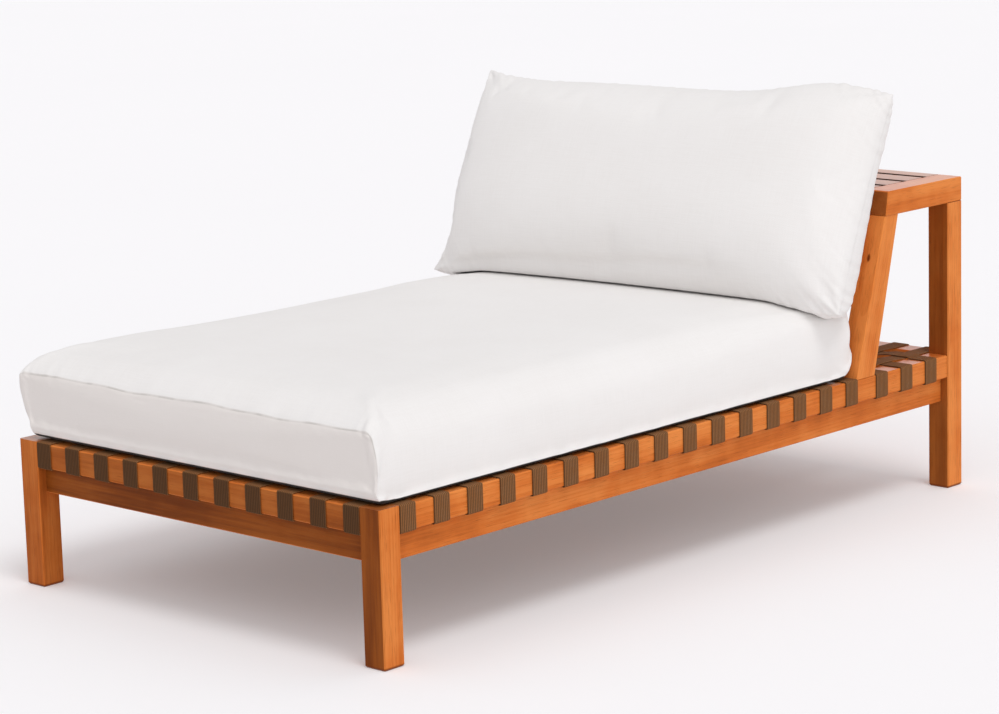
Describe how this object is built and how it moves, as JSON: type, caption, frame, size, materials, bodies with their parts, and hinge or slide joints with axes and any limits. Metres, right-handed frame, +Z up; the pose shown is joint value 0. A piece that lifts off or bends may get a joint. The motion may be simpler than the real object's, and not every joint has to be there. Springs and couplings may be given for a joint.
{
  "type": "chaise longue",
  "caption": "Low hardwood chaise longue with a woven strap deck, a loose mattress and back pillow, and a slatted shelf behind leaning posts.",
  "frame": {"origin": "on the floor under the middle of the frame", "axes": "+Z up, +Y from the foot end towards the head end and its shelf, +X to the right of someone who looks from the foot end towards the back pillow"},
  "size_m": [1.0306, 1.728, 0.8656],
  "materials": {
    "hardwood": "oiled, satin, straight grain",
    "webbing": "woven strap, matt",
    "canvas": "plain-weave cotton canvas, matt"
  },
  "bodies": {
    "frame": {"leg_front_left": "hardwood", "leg_front_right": "hardwood", "leg_rear_left": "hardwood", "leg_rear_right": "hardwood", "upper_rail_left": "hardwood", "upper_rail_right": "hardwood", "upper_rail_foot": "hardwood", "upper_rail_head": "hardwood", "lower_rail_left": "hardwood", "lower_rail_right": "hardwood", "lower_rail_foot": "hardwood", "lower_rail_head": "hardwood", "centre_stretcher": "hardwood", "back_post_left": "hardwood", "back_post_right": "hardwood", "back_slat_1": "hardwood", "back_slat_2": "hardwood", "back_slat_3": "hardwood", "shelf_side_left": "hardwood", "shelf_side_right": "hardwood", "shelf_slat_1": "hardwood", "shelf_slat_2": "hardwood", "shelf_slat_3": "hardwood", "shelf_slat_4": "hardwood", "cross_strap_01": "webbing", "cross_strap_02": "webbing", "cross_strap_03": "webbing", "cross_strap_04": "webbing", "cross_strap_05": "webbing", "cross_strap_06": "webbing", "cross_strap_07": "webbing", "cross_strap_08": "webbing", "cross_strap_09": "webbing", "cross_strap_10": "webbing", "cross_strap_11": "webbing", "cross_strap_12": "webbing", "cross_strap_13": "webbing", "cross_strap_14": "webbing", "cross_strap_15": "webbing", "cross_strap_16": "webbing", "cross_strap_17": "webbing", "cross_strap_18": "webbing", "cross_strap_19": "webbing", "long_strap_01": "webbing", "long_strap_02": "webbing", "long_strap_03": "webbing", "long_strap_04": "webbing", "long_strap_05": "webbing", "long_strap_06": "webbing", "long_strap_07": "webbing", "long_strap_08": "webbing", "long_strap_09": "webbing", "long_strap_10": "webbing", "long_strap_11": "webbing"},
    "seat_cushion": {"seat_cushion": "canvas"},
    "back_pillow": {"back_pillow": "canvas"}
  },
  "joints": [
    {"name": "seat_lift", "type": "slide", "parent": "frame", "child": "seat_cushion", "axis": [0, 0, 1], "range_m": [0, 0.45]},
    {"name": "pillow_lift", "type": "slide", "parent": "seat_cushion", "child": "back_pillow", "axis": [0, 0, 1], "range_m": [0, 0.35]}
  ]
}
